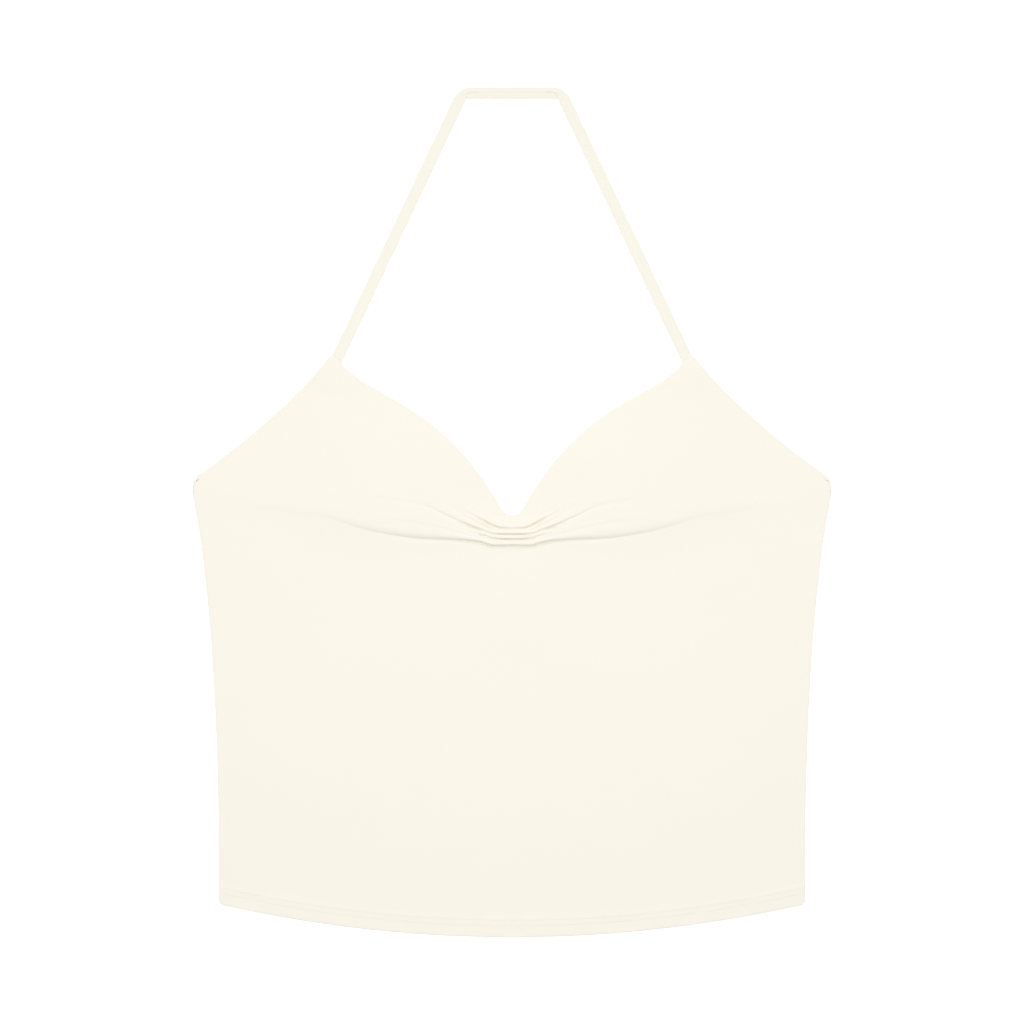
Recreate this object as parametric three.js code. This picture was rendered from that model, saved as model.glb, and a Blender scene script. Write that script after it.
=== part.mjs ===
// A halter neck top of cream cotton jersey, laid flat on its back on a table, front side up.
// X runs across the garment, Y from the hem towards the neck, Z up. The table is z = 0, and the origin is the
// middle of the garment's outline on it. Lengths are millimetres.
// Three cut pieces: the back lies on the table, the front lies on the back with its cups swelling a little,
// and one narrow strap runs from cup point to cup point round the neck.
import * as THREE from "three";
import { mergeVertices } from "three/addons/utils/BufferGeometryUtils.js";

// Driving sizes of the laid-out garment.
const LENGTH = 615.6; // from the bottom of the hem to the top of the neck loop
const BUST_HALF = 231.2; // half the width at the underarm
const HEM_RADIUS = 957; // the hem is an arc, lowest at the centre
const HEM_HALF = 212.4; // half the width at the hem
const HEM_DEPTH = 13; // how far the hem is turned up inside
const HEM_FADE = 3; // the turned edge is pressed flat over this distance

// Cloth and clearances.
const JERSEY = 1.2; // one layer of body jersey
const BUST_WALL = 1.6; // the bust is cut double, so that its edges turn clean
const HEM_WALL = 1.8; // the turned hem
const BUST_WALL_RUN = 20; // the second layer comes in over this distance at the under-bust crease
const LEAST_WALL = 1.0; // left at the bottom of a crease
const SEAM_GAP = 0.3; // what is left between pieces that are sewn together
const CUP_RISE = 6; // how far the empty cups stand off the table

// Halter strap.
const STRAP_WIDTH = 8.45;
const STRAP_THICK = 1.7;
const STRAP_TAIL = 7; // what is caught inside the cup point
const NECK_THICK = 2.2; // where the strap rolls over itself behind the neck
const NECK_BAND = 8.2; // its height there
const NECK_LIP = 3.5; // the rolled part that shows in front of the band
const NECK_CORNER_RADIUS = 15; // of the strap's outer edge, where it turns behind the neck

const TOP = LENGTH / 2;
const HEM_CENTRE = -LENGTH / 2;

// Half width of the body from the underarm down, one row for each section.
const SIDE = [
  { y: -300, half: HEM_HALF },
  { y: -245, half: 212.3 },
  { y: -172, half: 213.7 },
  { y: -100, half: 217.4 },
  { y: -35, half: 223.5 },
  { y: -6, half: 227.7 },
  { y: 8, half: 230.2 },
  { y: 17, half: BUST_HALF },
];

// Upper edge of the front from the centre outwards: the notch of the neckline, the curve of the cup, the cup
// point where the strap is sewn in, then the armhole down to the underarm.
const NOTCH = { x: 0, y: -2.3 };
const INNER_POINT = { x: 123.8, y: 108.3 };
const OUTER_POINT = { x: 130.9, y: 113.6 };
const FRONT_EDGE = [
  NOTCH,
  { x: 3.2, y: -1.7 },
  { x: 5.3, y: -0.2 },
  { x: 7.6, y: 2.4 },
  { x: 11.3, y: 8.5 },
  { x: 20.6, y: 23.3 },
  { x: 31.8, y: 37.8 },
  { x: 45.2, y: 52.3 },
  { x: 62.4, y: 66.8 },
  { x: 84.8, y: 81.3 },
  { x: 109.8, y: 95.8 },
  { x: 119.1, y: 103.1 },
  INNER_POINT,
  OUTER_POINT,
  { x: 146.4, y: 95.8 },
  { x: 160.7, y: 81.3 },
  { x: 184.6, y: 59.6 },
  { x: 202.3, y: 45.1 },
  { x: 221.7, y: 30.6 },
  { x: 228.0, y: 26.2 },
  { x: 230.4, y: 23.0 },
  { x: BUST_HALF, y: 18.0 },
];

// Upper edge of the back: straight out of the underarm, hollowed a little to stay below the neckline.
const BACK_EDGE_CENTRE = -13;
const BACK_EDGE_SIDE = 17.5;

// The gathers. Each crease leaves a short tab at the centre, level, and fans out towards the bust. Its row
// gives its height at these distances from the centre, the stretch over which it shows, how deep and wide the
// crease is, and how far the cloth above it rolls up and over how long a run.
const TAB_HALF = 14.5;
const CREASE_AT = [0, 9, TAB_HALF, 20, 28, 45, 66, 100, 140, BUST_HALF];
const CREASES = [
  {
    name: "notch",
    y: [-7.5, -6.8, -5.2, -2.2, 2.4, 14, 26, 40, 50, 60],
    from: 6, to: 36, depth: 0.3, width: 1.3, lift: 0.2, run: 3,
  },
  {
    name: "upper",
    y: [-12.1, -11.6, -9.6, -6.8, -2.7, 6.5, 19, 33, 44, 54],
    from: 0, to: 32, depth: 1.1, width: 1.5, lift: 0.3, run: 4,
  },
  {
    name: "hook",
    y: [-13.4, -13.2, -12.6, -9.9, -6.1, 4.7, 14, 24, 34, 45],
    from: 10, to: 52, depth: 0.5, width: 1.2, lift: 0.4, run: 4,
  },
  {
    name: "long",
    y: [-16.1, -16, -15.6, -13.6, -10.9, -3.7, 5.6, 11, 16, 30],
    from: 0, to: 104, depth: 1.0, width: 1.5, lift: 0.6, run: 7,
  },
  {
    name: "short",
    y: [-19.7, -19.5, -18.8, -17.1, -15.3, -9.6, -2, 5, 9, 16],
    from: 0, to: 32, depth: 1.0, width: 1.3, lift: 0.3, run: 4,
  },
  {
    name: "thin",
    y: [-21.2, -21, -20.4, -19, -17.3, -13.2, -8.6, -4.2, 3, 12],
    from: 12, to: 114, depth: 0.35, width: 1.6, lift: 0.3, run: 6,
  },
  {
    name: "under bust",
    y: [-24.3, -24.7, -24.6, -22.9, -21.4, -20.2, -19.3, -14.4, -3.5, 6],
    from: 0, to: 150, depth: 0.9, width: 2.2, lift: 2.2, run: 24,
  },
];
const UNDER_BUST = CREASES.at(-1);
const CREASE_OPENS = 6; // a crease that starts away from the centre opens over this distance
const CREASE_FADES = 0.55; // from this share of its reach it fades out
const CREASE_SPREADS = 60; // at this distance from the centre a crease is twice as wide
const GATHER_SWELL = 1.3; // the bunched cloth at the tab stands this much higher
const SWELL = { y: -15, across: 34, along: 15 };

// Where the empty cup is fullest, and how far it spreads from there.
const CUP = { x: 86, y: 24, across: 112, down: 62, up: 90 };

// Grid steps. Columns count outwards from the centre, and rows from the hem up to the under-bust crease and
// from there to the edge.
const FRONT_COLUMNS = [
  { to: TAB_HALF, steps: 3 },
  { to: 50, steps: 7 },
  { to: INNER_POINT.x, steps: 8 },
  { to: OUTER_POINT.x, steps: 1 },
  { to: 221.7, steps: 6 },
  { to: 228, steps: 1 },
  { to: 230.4, steps: 1 },
  { to: BUST_HALF, steps: 1 },
];
const BACK_COLUMNS = [
  { to: 220, steps: 9 },
  { to: BUST_HALF, steps: 2 },
];
const BODY_ROWS = 13;
const BUST_ROWS = 21;
const BACK_ROWS = 14;

// Smooth curve through the rows of a table, with no overshoot between them.
function curve(xs, ys, at) {
  const last = xs.length - 1;
  const x = Math.min(Math.max(at, xs[0]), xs[last]);
  let i = 0;
  while (i < last - 1 && x > xs[i + 1]) i += 1;
  const secant = (j) => (ys[j + 1] - ys[j]) / (xs[j + 1] - xs[j]);
  const slope = (j) => {
    if (j === 0) return secant(0);
    if (j === last) return secant(last - 1);
    const [a, b] = [secant(j - 1), secant(j)];
    return a * b <= 0 ? 0 : (2 * a * b) / (a + b);
  };
  const step = xs[i + 1] - xs[i];
  const t = (x - xs[i]) / step;
  const [t2, t3] = [t * t, t * t * t];
  return (
    ys[i] * (2 * t3 - 3 * t2 + 1) +
    ys[i + 1] * (3 * t2 - 2 * t3) +
    step * (slope(i) * (t3 - 2 * t2 + t) + slope(i + 1) * (t3 - t2))
  );
}

const smooth = (t) => THREE.MathUtils.smoothstep(t, 0, 1);
const lerp = THREE.MathUtils.lerp;

const sideHalf = (y) => curve(SIDE.map((r) => r.y), SIDE.map((r) => r.half), y);
const hemY = (x) => HEM_CENTRE + HEM_RADIUS - Math.sqrt(HEM_RADIUS ** 2 - x ** 2);
const frontEdgeY = (x) => curve(FRONT_EDGE.map((r) => r.x), FRONT_EDGE.map((r) => r.y), Math.abs(x));
const backEdgeY = (x) => lerp(BACK_EDGE_CENTRE, BACK_EDGE_SIDE, (x / BUST_HALF) ** 2);

// The line of a crease is level at the centre, because the other half mirrors it.
const creaseY = (crease, x) =>
  curve([-CREASE_AT[1], ...CREASE_AT], [crease.y[1], ...crease.y], Math.abs(x));

// One inside the turned hem, fading to nothing just above it.
const inHem = (x, y) => 1 - smooth((y - hemY(x) - HEM_DEPTH) / HEM_FADE);

// Top of the back panel, which lies flat on the table.
const backTop = (x, y) => lerp(JERSEY, HEM_WALL, inHem(x, y));

// How high the front rests: on the back, on the strap's tail inside the cup point, or else on the table.
const DRAPE_RUN = 34; // past the back's edge the front comes down over this distance
const TAIL_RADIUS = 11;
const TAIL_RUN = 20;
function restHeight(x, y) {
  const pastBack = (y - backEdgeY(x)) / DRAPE_RUN;
  const onBack = (backTop(x, y) + SEAM_GAP) * (1 - smooth(pastBack));
  const middle = { x: (INNER_POINT.x + OUTER_POINT.x) / 2, y: (INNER_POINT.y + OUTER_POINT.y) / 2 };
  const fromPoint = Math.hypot(Math.abs(x) - middle.x, y - middle.y);
  const onTail = (STRAP_THICK + SEAM_GAP) * (1 - smooth((fromPoint - TAIL_RADIUS) / TAIL_RUN));
  return Math.max(onBack, onTail);
}

function cupHeight(x, y) {
  const across = (Math.abs(x) - CUP.x) / CUP.across;
  const along = (y - CUP.y) / (y < CUP.y ? CUP.down : CUP.up);
  const left = Math.max(0, 1 - across ** 2 - along ** 2);
  return CUP_RISE * left ** 2;
}

function gatherHeight(x, y) {
  const away = Math.hypot(x / SWELL.across, (y - SWELL.y) / SWELL.along);
  let height = GATHER_SWELL * (1 - smooth(away));
  for (const crease of CREASES) {
    const out = Math.abs(x);
    const starts = crease.from > 0 ? smooth((out - crease.from) / CREASE_OPENS) : 1;
    const ends = 1 - smooth((out / crease.to - CREASE_FADES) / (1 - CREASE_FADES));
    const above = y - creaseY(crease, x);
    const widened = crease.width * (1 + out / CREASE_SPREADS);
    const valley = crease.depth * Math.exp(-((above / widened) ** 2));
    const roll = above > 0 ? (1 - Math.exp(-((above / widened) ** 2))) * Math.exp(-above / crease.run) : 0;
    height += starts * ends * (crease.lift * roll - valley);
  }
  return height;
}

// Points of the bust are double cloth, those of the body are single, and the hem is turned.
function frontWall(x, y) {
  const bust = smooth((y - creaseY(UNDER_BUST, x)) / BUST_WALL_RUN + 0.5);
  return lerp(lerp(JERSEY, BUST_WALL, bust), HEM_WALL, inHem(x, y));
}

const SIDE_FADE = 18; // the cup's rise and the gathers fade towards the side seam over this distance

function frontHeights(x, y) {
  const nearSide = smooth((sideHalf(y) - Math.abs(x)) / SIDE_FADE);
  const bottom = restHeight(x, y) + nearSide * cupHeight(x, y);
  const top = bottom + frontWall(x, y) + nearSide * gatherHeight(x, y);
  return { bottom, top: Math.max(top, bottom + LEAST_WALL) };
}

const backHeights = (x, y) => ({ bottom: 0, top: backTop(x, y) });

// Shares of the half width at which columns stand, from one side seam to the other.
function columnShares(bands) {
  const half = [0];
  for (const band of bands) {
    const start = half.at(-1);
    for (let i = 1; i <= band.steps; i += 1) half.push(lerp(start, band.to, i / band.steps));
  }
  const right = half.map((x) => x / BUST_HALF);
  return [...right.slice(1).reverse().map((s) => -s), ...right];
}

// Plan of a panel: one list of points for each row, hem first.
function panelPlan(shares, levels) {
  return levels.map((level) =>
    shares.map((share) => {
      const y = level(share);
      return { x: share * sideHalf(y), y };
    }),
  );
}

// A wall of cloth over a plan of rows, closed round its edges.
function wallGeometry(plan, heights) {
  const rows = plan.length;
  const columns = plan[0].length;
  const points = [];
  for (const side of ["top", "bottom"]) {
    for (const row of plan) for (const p of row) points.push(p.x, p.y, heights(p.x, p.y)[side]);
  }
  const at = (side, i, j) => side * rows * columns + i * columns + j;
  const faces = [];
  const quad = (a, b, c, d) => faces.push(a, b, c, a, c, d);
  for (let i = 0; i < rows - 1; i += 1) {
    for (let j = 0; j < columns - 1; j += 1) {
      quad(at(0, i, j), at(0, i, j + 1), at(0, i + 1, j + 1), at(0, i + 1, j));
      quad(at(1, i, j), at(1, i + 1, j), at(1, i + 1, j + 1), at(1, i, j + 1));
    }
  }
  for (let j = 0; j < columns - 1; j += 1) {
    quad(at(1, 0, j), at(1, 0, j + 1), at(0, 0, j + 1), at(0, 0, j));
    quad(at(0, rows - 1, j), at(0, rows - 1, j + 1), at(1, rows - 1, j + 1), at(1, rows - 1, j));
  }
  for (let i = 0; i < rows - 1; i += 1) {
    quad(at(0, i, 0), at(0, i + 1, 0), at(1, i + 1, 0), at(1, i, 0));
    quad(at(1, i, columns - 1), at(1, i + 1, columns - 1), at(0, i + 1, columns - 1), at(0, i, columns - 1));
  }
  return closedGeometry(points, faces);
}

function closedGeometry(points, faces) {
  const geometry = new THREE.BufferGeometry();
  geometry.setAttribute("position", new THREE.Float32BufferAttribute(points, 3));
  geometry.setIndex(faces);
  return mergeVertices(geometry, 1e-4);
}

// Levels of the front's rows: close below the under-bust crease and wide towards the hem, then even above it.
const FOOT_OF_CREASE = 1.5; // the two sets of rows meet this far below the crease
function frontLevels() {
  const levels = [];
  const crease = (share) => creaseY(UNDER_BUST, share * BUST_HALF) - FOOT_OF_CREASE;
  const hem = (share) => hemY(share * HEM_HALF);
  const turn = (share) => hem(share) + HEM_DEPTH;
  levels.push(hem, turn);
  for (let i = 1; i <= BODY_ROWS; i += 1) {
    const part = 1 - (1 - i / BODY_ROWS) ** 2;
    levels.push((share) => lerp(turn(share) + HEM_FADE, crease(share), part));
  }
  for (let i = 1; i <= BUST_ROWS; i += 1) {
    levels.push((share) => lerp(crease(share), frontEdgeY(share * BUST_HALF), i / BUST_ROWS));
  }
  return levels;
}

function backLevels() {
  const levels = [];
  const hem = (share) => hemY(share * HEM_HALF);
  levels.push(hem, (share) => hem(share) + HEM_DEPTH);
  for (let i = 0; i <= BACK_ROWS; i += 1) {
    const from = (share) => hem(share) + HEM_DEPTH + HEM_FADE;
    levels.push((share) => lerp(from(share), backEdgeY(share * BUST_HALF), i / BACK_ROWS));
  }
  return levels;
}

// Outer edge of the right half of the strap in plan, from its tail in the cup point to the middle of the
// neck. Each station gives the edge's point, the inward direction, and the section there.
const LEAN = THREE.MathUtils.degToRad(25.3); // of the straight stretch, from the Y axis
const STRAP_FOOT = new THREE.Vector2(129.8, 114.7);
const CORNER_ROWS = [
  { share: 0, lip: STRAP_WIDTH },
  { share: 0.25, lip: 8.2 },
  { share: 0.45, lip: 7.4 },
  { share: 0.58, lip: 6.1 },
  { share: 0.76, lip: 4.4 },
  { share: 1, lip: NECK_LIP },
];
const STRAIGHT_STEPS = 6;
const NECK_STEPS = 3;
const SEWN_EDGE = 0.5; // the strap's under side is this much narrower than its face
const BAND_DROPS_BY = 0.5; // the band has dropped clear of the lip at this share of the corner

function strapStations() {
  const along = new THREE.Vector2(-Math.sin(LEAN), Math.cos(LEAN));
  const inward = new THREE.Vector2(-Math.cos(LEAN), -Math.sin(LEAN));
  // The corner's centre lies a radius below the top and a radius inside the straight edge.
  const down = TOP - NECK_CORNER_RADIUS - STRAP_FOOT.y;
  const run = (down - NECK_CORNER_RADIUS * inward.y) / along.y;
  const bend = STRAP_FOOT.clone().addScaledVector(along, run);
  const centre = bend.clone().addScaledVector(inward, NECK_CORNER_RADIUS);
  const flat = { lip: STRAP_WIDTH, band: STRAP_WIDTH - SEWN_EDGE, height: STRAP_THICK };
  const stations = [{ ...flat, edge: STRAP_FOOT.clone().addScaledVector(along, -STRAP_TAIL), inward }];
  for (let i = 0; i < STRAIGHT_STEPS; i += 1) {
    const edge = STRAP_FOOT.clone().addScaledVector(along, (run * i) / STRAIGHT_STEPS);
    stations.push({ ...flat, edge, inward });
  }
  const edgeOfBand = TOP - NECK_BAND - centre.y;
  for (const row of CORNER_ROWS) {
    const angle = lerp(LEAN, Math.PI / 2, row.share);
    const out = new THREE.Vector2(Math.cos(angle), Math.sin(angle));
    const straightBand = NECK_CORNER_RADIUS - edgeOfBand / out.y;
    stations.push({
      edge: centre.clone().addScaledVector(out, NECK_CORNER_RADIUS),
      inward: out.negate(),
      lip: row.lip,
      band: lerp(flat.band, straightBand, smooth(row.share / BAND_DROPS_BY)),
      height: lerp(STRAP_THICK, NECK_THICK, row.share),
    });
  }
  const neck = { lip: NECK_LIP, band: NECK_BAND, height: NECK_THICK, inward: new THREE.Vector2(0, -1) };
  for (let i = 1; i <= NECK_STEPS; i += 1) {
    stations.push({ ...neck, edge: new THREE.Vector2(centre.x * (1 - i / NECK_STEPS), TOP) });
  }
  return stations;
}

// The strap's section: a rolled lip in front, and the band that lies behind it. Points are (inward, up).
const SOFTEN = 0.35; // of its long edges
const BAND_SHARE = 0.47; // of the height, which the band takes
function strapSection({ lip, band, height }) {
  const middle = BAND_SHARE * height;
  return [
    [SOFTEN, 0],
    [band - SOFTEN, 0],
    [band, SOFTEN],
    [band, middle - SOFTEN],
    [band - SOFTEN, middle],
    [lip, middle],
    [lip, height - SOFTEN],
    [lip - SOFTEN, height],
    [SOFTEN, height],
    [0, height - SOFTEN],
    [0, SOFTEN],
  ];
}

function strapGeometry() {
  const right = strapStations();
  const left = right.slice(0, -1).reverse();
  const mirrored = left.map((s) => ({
    ...s,
    edge: new THREE.Vector2(-s.edge.x, s.edge.y),
    inward: new THREE.Vector2(-s.inward.x, s.inward.y),
  }));
  const stations = [...right, ...mirrored];
  const sections = stations.map(strapSection);
  const around = sections[0].length;
  const points = [];
  stations.forEach((s, i) => {
    for (const [inward, up] of sections[i]) {
      points.push(s.edge.x + s.inward.x * inward, s.edge.y + s.inward.y * inward, up);
    }
  });
  const faces = [];
  for (let i = 0; i < stations.length - 1; i += 1) {
    for (let k = 0; k < around; k += 1) {
      const [a, b] = [i * around + k, i * around + ((k + 1) % around)];
      const [c, d] = [a + around, b + around];
      faces.push(a, b, c, b, d, c);
    }
  }
  const ends = [
    { first: 0, section: sections[0], flip: true },
    { first: (stations.length - 1) * around, section: sections.at(-1), flip: false },
  ];
  for (const { first, section, flip } of ends) {
    const outline = section.map(([u, v]) => new THREE.Vector2(u, v));
    for (const [a, b, c] of THREE.ShapeUtils.triangulateShape(outline, [])) {
      faces.push(...(flip ? [first + a, first + c, first + b] : [first + a, first + b, first + c]));
    }
  }
  return closedGeometry(points, faces);
}

// Materials: one cream jersey, a little duller where the inside of the back shows.
const jersey = (colour) => new THREE.MeshStandardMaterial({ color: colour, roughness: 0.92, metalness: 0 });
const FRONT_CREAM = 0xf9f5e9;
const BACK_CREAM = 0xf5f1e5;
const STRAP_CREAM = 0xf8f4e8;

function piece(name, geometry, material) {
  const mesh = new THREE.Mesh(geometry, material);
  mesh.name = name;
  return mesh;
}

const top = new THREE.Group();
const frontPlan = panelPlan(columnShares(FRONT_COLUMNS), frontLevels());
const backPlan = panelPlan(columnShares(BACK_COLUMNS), backLevels());
top.add(piece("back_panel", wallGeometry(backPlan, backHeights), jersey(BACK_CREAM)));
top.add(piece("front_panel", wallGeometry(frontPlan, frontHeights), jersey(FRONT_CREAM)));
top.add(piece("halter_strap", strapGeometry(), jersey(STRAP_CREAM)));

export default top;
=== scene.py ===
# %% [markdown]
# # A halter neck top, laid flat
# The real top is fine cream jersey in three cut pieces: a front whose neckline is gathered at the centre, a
# plain back that hides under it, and one narrow strap that runs round the neck. Each piece here is a thin
# closed shell on the form of its solid. All its sizes are millimetres, as on a sewing pattern, and they turn
# into metres only when a mesh is made.

# %% Load the solids that carry the cloth
import math

import bpy
import numpy as np
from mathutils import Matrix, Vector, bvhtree


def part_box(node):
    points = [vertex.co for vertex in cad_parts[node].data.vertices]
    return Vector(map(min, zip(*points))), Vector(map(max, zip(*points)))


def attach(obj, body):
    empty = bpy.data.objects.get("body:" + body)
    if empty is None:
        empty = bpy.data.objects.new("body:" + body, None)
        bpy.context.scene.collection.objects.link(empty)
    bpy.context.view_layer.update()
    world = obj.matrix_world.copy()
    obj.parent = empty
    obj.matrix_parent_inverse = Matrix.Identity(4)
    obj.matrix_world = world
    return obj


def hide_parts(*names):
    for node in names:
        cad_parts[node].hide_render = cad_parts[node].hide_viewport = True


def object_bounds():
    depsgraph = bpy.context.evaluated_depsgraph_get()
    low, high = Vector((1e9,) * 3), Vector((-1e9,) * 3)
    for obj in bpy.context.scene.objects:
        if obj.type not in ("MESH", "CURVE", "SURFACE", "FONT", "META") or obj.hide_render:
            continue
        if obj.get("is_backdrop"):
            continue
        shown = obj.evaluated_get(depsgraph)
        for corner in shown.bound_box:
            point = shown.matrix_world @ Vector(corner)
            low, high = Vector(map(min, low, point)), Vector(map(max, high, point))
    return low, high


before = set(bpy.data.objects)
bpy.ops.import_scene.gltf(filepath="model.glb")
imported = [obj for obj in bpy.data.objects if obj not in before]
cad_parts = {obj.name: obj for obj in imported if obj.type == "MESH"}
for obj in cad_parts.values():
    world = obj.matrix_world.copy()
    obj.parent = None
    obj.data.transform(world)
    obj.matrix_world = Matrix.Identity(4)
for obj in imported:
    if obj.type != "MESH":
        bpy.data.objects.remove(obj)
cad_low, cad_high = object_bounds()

MM = 0.001


def box_mm(node):
    """The lowest and the highest corner of a solid, in millimetres."""
    return [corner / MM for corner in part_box(node)]


front_low, front_high = box_mm("front_panel")
back_low, back_high = box_mm("back_panel")
strap_low, strap_high = box_mm("halter_strap")
print("nodes:", sorted(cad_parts))
print(f"the solids measure {[round(v * 1000, 1) for v in cad_high - cad_low]} mm")

# %% [markdown]
# ## The cut
# A pattern maker describes an edge by a few points and draws a smooth curve through them. A table of rows and
# a curve that never overshoots between two rows do the same here. The tables are for the right half, and the
# left half mirrors it.

# %% The curve through a table
def curve_through(at, values, where):
    """A smooth curve through the rows of a table, with no overshoot between them."""
    at, values = np.asarray(at, float), np.asarray(values, float)
    step = np.diff(at)
    secant = np.diff(values) / step
    product = secant[:-1] * secant[1:]
    total = np.where(product > 0, secant[:-1] + secant[1:], 1)
    inner = np.where(product > 0, 2 * product / total, 0)
    slope = np.concatenate([secant[:1], inner, secant[-1:]])
    where = np.clip(where, at[0], at[-1])
    i = np.clip(np.searchsorted(at, where, side="right") - 1, 0, len(step) - 1)
    t = (where - at[i]) / step[i]
    t2, t3 = t**2, t**3
    ends = values[i] * (2 * t3 - 3 * t2 + 1) + values[i + 1] * (3 * t2 - 2 * t3)
    return ends + step[i] * (slope[i] * (t3 - 2 * t2 + t) + slope[i + 1] * (t3 - t2))


def smooth(t):
    """0 below 0, 1 above 1, and an S between them."""
    t = np.clip(t, 0, 1)
    return t * t * (3 - 2 * t)


def mix(a, b, share):
    return a + (b - a) * share


# %% Sides, hem and upper edges
BUST_HALF = front_high.x  # half the width at the underarm
HEM_CENTRE = front_low.y
HEM_HALF = 212.4
HEM_RADIUS = 957.0  # the hem is an arc, lowest at the centre
HEM_CORNER = 3.0  # the hem's corners are this round

SIDE = [
    # (height above the middle of the garment, half width there)
    (-300.0, HEM_HALF),
    (-245.0, 212.3),
    (-172.0, 213.7),
    (-100.0, 217.4),
    (-35.0, 223.5),
    (-6.0, 227.7),
    (8.0, 230.2),
    (17.0, BUST_HALF),
]
FRONT_EDGE = [
    # (distance from the centre, height of the edge): the notch, the cup, the cup point, then the armhole
    (0.0, -2.3),
    (3.2, -1.7),
    (5.3, -0.2),
    (7.6, 2.4),
    (11.3, 8.5),
    (20.6, 23.3),
    (31.8, 37.8),
    (45.2, 52.3),
    (62.4, 66.8),
    (84.8, 81.3),
    (109.8, 95.8),
    (119.1, 103.1),
    (121.9, 106.0),
    (124.0, 108.4),
    (125.8, 110.5),
    (128.1, 112.5),
    (130.9, 113.3),
    (132.5, 111.9),
    (136.0, 107.5),
    (146.4, 95.8),
    (160.7, 81.3),
    (184.6, 59.6),
    (202.3, 45.1),
    (221.7, 30.6),
    (228.0, 26.2),
    (230.4, 23.0),
    (BUST_HALF, 18.0),
]
CUP_POINT = (127.4, 111.0)
BACK_EDGE_CENTRE = -13.0
BACK_EDGE_SIDE = 17.5


def side_half(y):
    heights, halves = zip(*SIDE)
    return curve_through(heights, halves, y)


def hem_y(x):
    return HEM_CENTRE + HEM_RADIUS - np.sqrt(HEM_RADIUS**2 - np.square(x))


def front_edge_y(x):
    distances, heights = zip(*FRONT_EDGE)
    return curve_through(distances, heights, np.abs(x))


def back_edge_y(x):
    return mix(BACK_EDGE_CENTRE, BACK_EDGE_SIDE, np.square(x / BUST_HALF))


print(f"hem {2 * HEM_HALF:.0f} mm wide, bust {2 * BUST_HALF:.0f} mm, notch at {front_edge_y(0.0):.1f} mm")

# %% [markdown]
# ## A sheet as a grid
# A cut piece is a grid of points: its columns share out the width between the side seams, and its rows run
# from the hem to the upper edge. The points are closest where the cloth does most: at the folded edges, along
# the hem stitches, and in the gathers. A folded edge of jersey is round, so both faces of the shell close in
# towards each other over the last millimetre.

# %% Columns and the distance to the nearest edge
EDGE_STEPS = [1.5, 0.9, 0.45, 0.15, 0.0]  # distances from a folded edge at which points stand
FOLD_RADIUS = 1.6  # how far in a folded edge is round
NOSE = 0.14  # the share of the wall that is left at the very edge


def column_shares(bands, half):
    """Shares of the half width, from -1 to 1. A band is (how far out it reaches, its steps)."""
    stops = [0.0]
    for reach, steps in bands:
        stops.extend(np.linspace(stops[-1], reach, steps + 1)[1:])
    right = np.array(stops + [half - step for step in EDGE_STEPS]) / half
    return np.concatenate([-right[:0:-1], right])


def slope_factor(edge, x):
    """How much nearer an edge is than it is straight above, because it slopes."""
    reach = 0.6
    slope = (edge(np.abs(x) + reach) - edge(np.abs(x) - reach)) / (2 * reach)
    return 1 / np.sqrt(1 + np.square(slope))


def edge_distance(x, y, edge):
    """How far each point is from the nearest edge of a panel."""
    to_top = (edge(x) - y) * slope_factor(edge, x)
    to_side = side_half(y) - np.abs(x)
    return np.clip(np.minimum(np.minimum(to_top, to_side), y - hem_y(x)), 0, None)


def folded(bottom, top, distance):
    """Both faces of a wall, closed in towards each other along its folded edges."""
    out = 1 - np.clip(distance / FOLD_RADIUS, 0, 1)
    open_share = mix(NOSE, 1, np.sqrt(1 - out**2))
    middle = (bottom + top) / 2
    return mix(middle, bottom, open_share), mix(middle, top, open_share)


# %% The shell round a grid
CLOTH_UV = "cloth"


def round_hem_corners(x, y):
    """Brings the grid's two square hem corners to a small radius."""
    corner_x, corner_y = HEM_HALF - HEM_CORNER, hem_y(HEM_HALF) + HEM_CORNER
    a = np.clip(np.abs(x) - corner_x, 0, None)
    b = np.clip(corner_y - y + (hem_y(x) - hem_y(HEM_HALF)), 0, None)
    pull = np.where((a > 0) & (b > 0), np.maximum(a, b) / np.maximum(np.hypot(a, b), 1e-6), 1)
    return x - np.sign(x) * a * (1 - pull), y + b * (1 - pull)


def mesh_object(name, points, faces, uv):
    """A smooth mesh from points in millimetres, with a UV map in metres along the cloth."""
    mesh = bpy.data.meshes.new(name)
    mesh.from_pydata((points * MM).tolist(), [], faces)
    mesh.shade_smooth()
    layer = mesh.uv_layers.new(name=CLOTH_UV)
    loops = np.zeros(len(mesh.loops), np.int32)
    mesh.loops.foreach_get("vertex_index", loops)
    layer.data.foreach_set("uv", (uv[loops] * MM).astype(np.float32).ravel())
    mesh.validate()
    made = bpy.data.objects.new(name, mesh)
    bpy.context.scene.collection.objects.link(made)
    return made


def shell(name, x, y, bottom, top):
    """A closed shell: the upper face, the under face, and a rim between them."""
    rows, columns = x.shape
    upper = np.stack([x, y, top], axis=-1).reshape(-1, 3)
    under = np.stack([x, y, bottom], axis=-1).reshape(-1, 3)
    at = np.arange(rows * columns).reshape(rows, columns)
    a, b, c, d = at[:-1, :-1], at[:-1, 1:], at[1:, 1:], at[1:, :-1]
    up = np.stack([a, b, c, d], axis=-1).reshape(-1, 4)
    down = np.stack([a, d, c, b], axis=-1).reshape(-1, 4) + rows * columns
    ring = np.concatenate([at[0, :], at[1:, -1], at[-1, -2::-1], at[-2:0:-1, 0]])
    after = np.roll(ring, -1)
    rim = np.stack([ring + rows * columns, after + rows * columns, after, ring], axis=-1)
    uv = np.tile(np.stack([x, y], axis=-1).reshape(-1, 2), (2, 1))
    faces = np.concatenate([up, down, rim]).tolist()
    return mesh_object(name, np.concatenate([upper, under]), faces, uv)


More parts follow.
